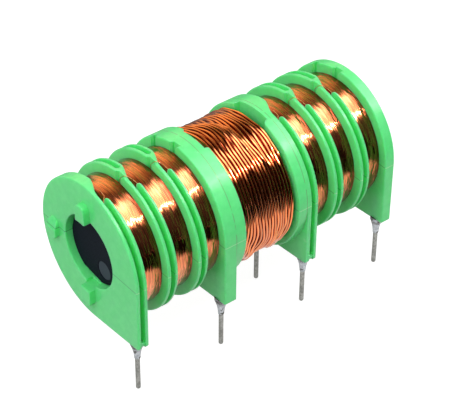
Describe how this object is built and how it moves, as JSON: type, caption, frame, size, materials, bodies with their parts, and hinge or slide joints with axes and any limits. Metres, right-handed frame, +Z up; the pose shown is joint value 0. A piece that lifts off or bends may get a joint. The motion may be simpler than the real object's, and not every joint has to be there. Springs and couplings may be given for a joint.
{
  "type": "ignition transformer",
  "caption": "Board-mounted ignition transformer: ferrite rod in a moulded sectional bobbin with a split fine-wire secondary, a thick-wire primary and solder pins.",
  "frame": {"origin": "on the axis of pin 1 at the front end of the near row, where its solder collar ends and the circuit board's upper face lies", "axes": "+X along the ferrite rod from pin 1 towards pin 4, +Y from the near row of pins under the coil, +Z up, away from the circuit board"},
  "size_m": [0.0534, 0.025, 0.0341],
  "materials": {
    "bobbin_plastic": "pale green moulded plastic, satin gloss",
    "ferrite": "dark grey sintered ferrite, slightly shiny",
    "primary_copper": "enamelled copper wire, glossy",
    "secondary_copper": "fine enamelled copper wire, glossy",
    "pin_tin": "dull tinned wire",
    "solder": "grey solder, lightly pitted"
  },
  "bodies": {
    "root": {"bobbin": "bobbin_plastic", "ferrite_core": "ferrite", "primary_winding": "primary_copper", "secondary_winding_1": "secondary_copper", "secondary_winding_2": "secondary_copper", "secondary_winding_3": "secondary_copper", "secondary_winding_4": "secondary_copper", "secondary_winding_5": "secondary_copper", "secondary_winding_6": "secondary_copper", "crossover_wire_1": "secondary_copper", "crossover_wire_2": "secondary_copper", "crossover_wire_3": "secondary_copper", "crossover_wire_4": "secondary_copper", "secondary_lead_1": "secondary_copper", "secondary_lead_2": "secondary_copper", "secondary_lead_3": "secondary_copper", "secondary_lead_4": "secondary_copper", "primary_lead_1": "primary_copper", "primary_lead_2": "primary_copper", "pin_1": "pin_tin", "pin_2": "pin_tin", "pin_3": "pin_tin", "pin_4": "pin_tin", "pin_5": "pin_tin", "solder_joint_1": "solder", "solder_joint_2": "solder", "solder_joint_3": "solder", "solder_joint_4": "solder", "solder_joint_5": "solder"}
  },
  "joints": []
}
